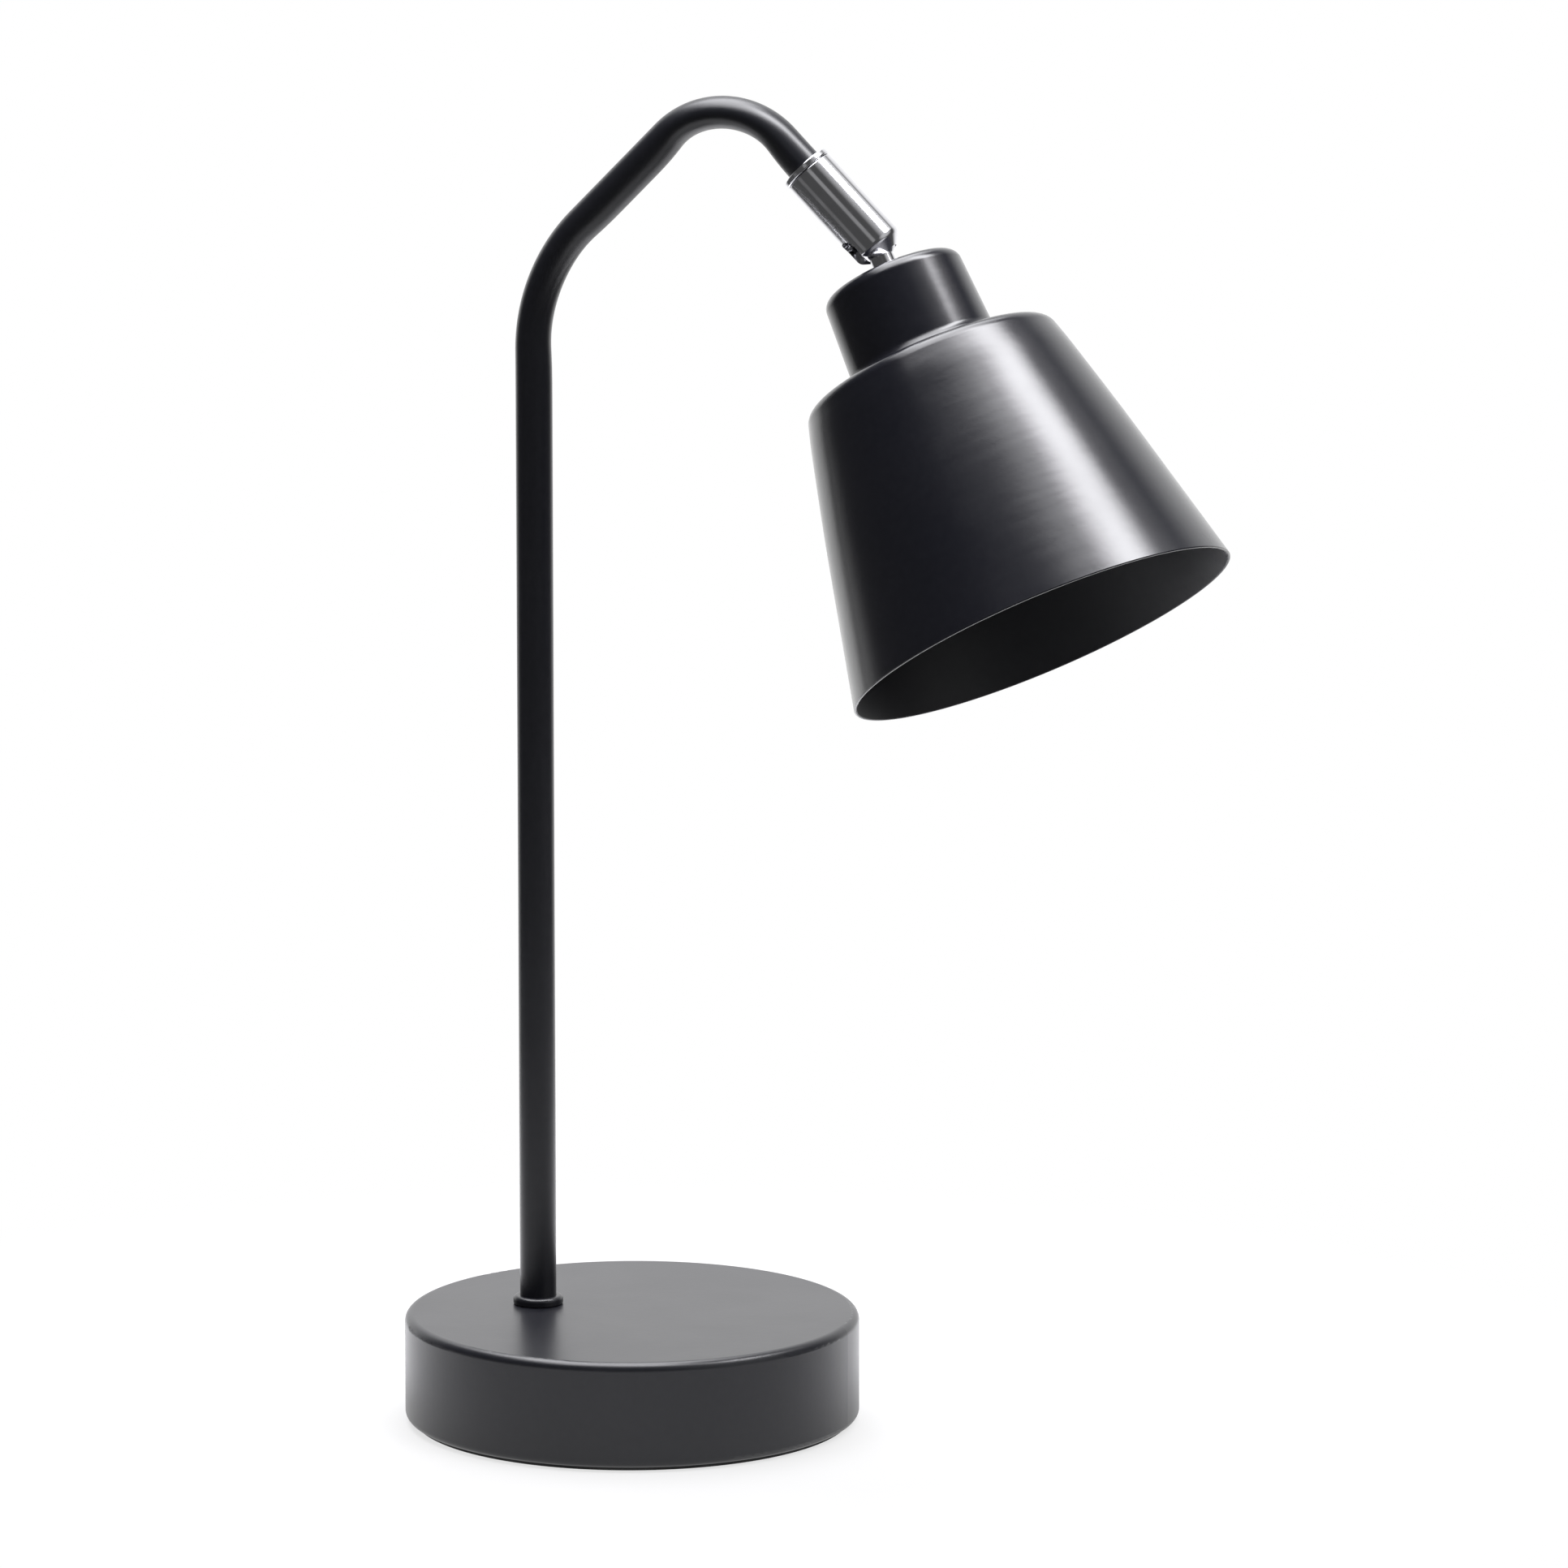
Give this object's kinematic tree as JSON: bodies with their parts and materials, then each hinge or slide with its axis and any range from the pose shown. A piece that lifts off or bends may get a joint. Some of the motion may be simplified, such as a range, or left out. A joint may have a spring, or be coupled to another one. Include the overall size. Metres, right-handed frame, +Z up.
{
  "type": "angled arm desk lamp",
  "caption": "Desk lamp with a weighted round base, a bent tube arm, a slotted ball swivel and a stepped conical shade.",
  "frame": {"origin": "centre of the foot pad's underside, on the table", "axes": "+Z up along the pole, +X the way the arm reaches, +Y to the left of it"},
  "size_m": [0.2828, 0.1659, 0.439],
  "materials": {
    "black_paint": "satin black powder coat",
    "chrome_plate": "polished chrome plate",
    "plain_steel": "zinc plated",
    "iron_weight": "as cast",
    "black_rubber": "matt",
    "black_plastic": "moulded",
    "bare_brass": "bare",
    "frosted_glass": "frosted opal"
  },
  "bodies": {
    "stand": {"base_shell": "black_paint", "base_weight": "iron_weight", "base_pad": "black_rubber", "cord_grommet": "black_rubber", "pole_tube": "black_paint", "pole_collar": "black_paint", "pole_nipple": "plain_steel", "base_washer": "plain_steel", "base_nut": "plain_steel", "nipple_bushing": "black_plastic", "pole_lead": "black_plastic", "swivel_cap": "chrome_plate", "swivel_clip": "plain_steel"},
    "swivel": {"swivel_sleeve": "chrome_plate", "seat_spring": "plain_steel", "ball_seat": "black_plastic"},
    "head": {"ball_stud": "chrome_plate", "head_lead": "black_plastic", "shade": "black_paint", "shade_washer": "plain_steel", "shade_nut": "plain_steel", "holder_cap": "black_plastic", "holder_body": "black_plastic", "holder_insulator": "black_plastic", "screw_shell": "bare_brass", "centre_contact": "bare_brass", "terminal_screws": "bare_brass", "bulb_contact": "bare_brass", "bulb_insulator": "black_plastic", "bulb_cap": "plain_steel", "bulb_glass": "frosted_glass"}
  },
  "joints": [
    {"name": "swivel_turn", "type": "hinge", "parent": "stand", "child": "swivel", "pos_m": [0.05999, 0, 0.41718], "axis": [0.7071, 0, -0.7071], "range_deg": [-170, 170]},
    {"name": "head_tilt", "type": "hinge", "parent": "swivel", "child": "head", "pos_m": [0.08414, 0, 0.39303], "axis": [-0.4086, 0.8161, -0.4086], "range_deg": [-19, 70]}
  ]
}
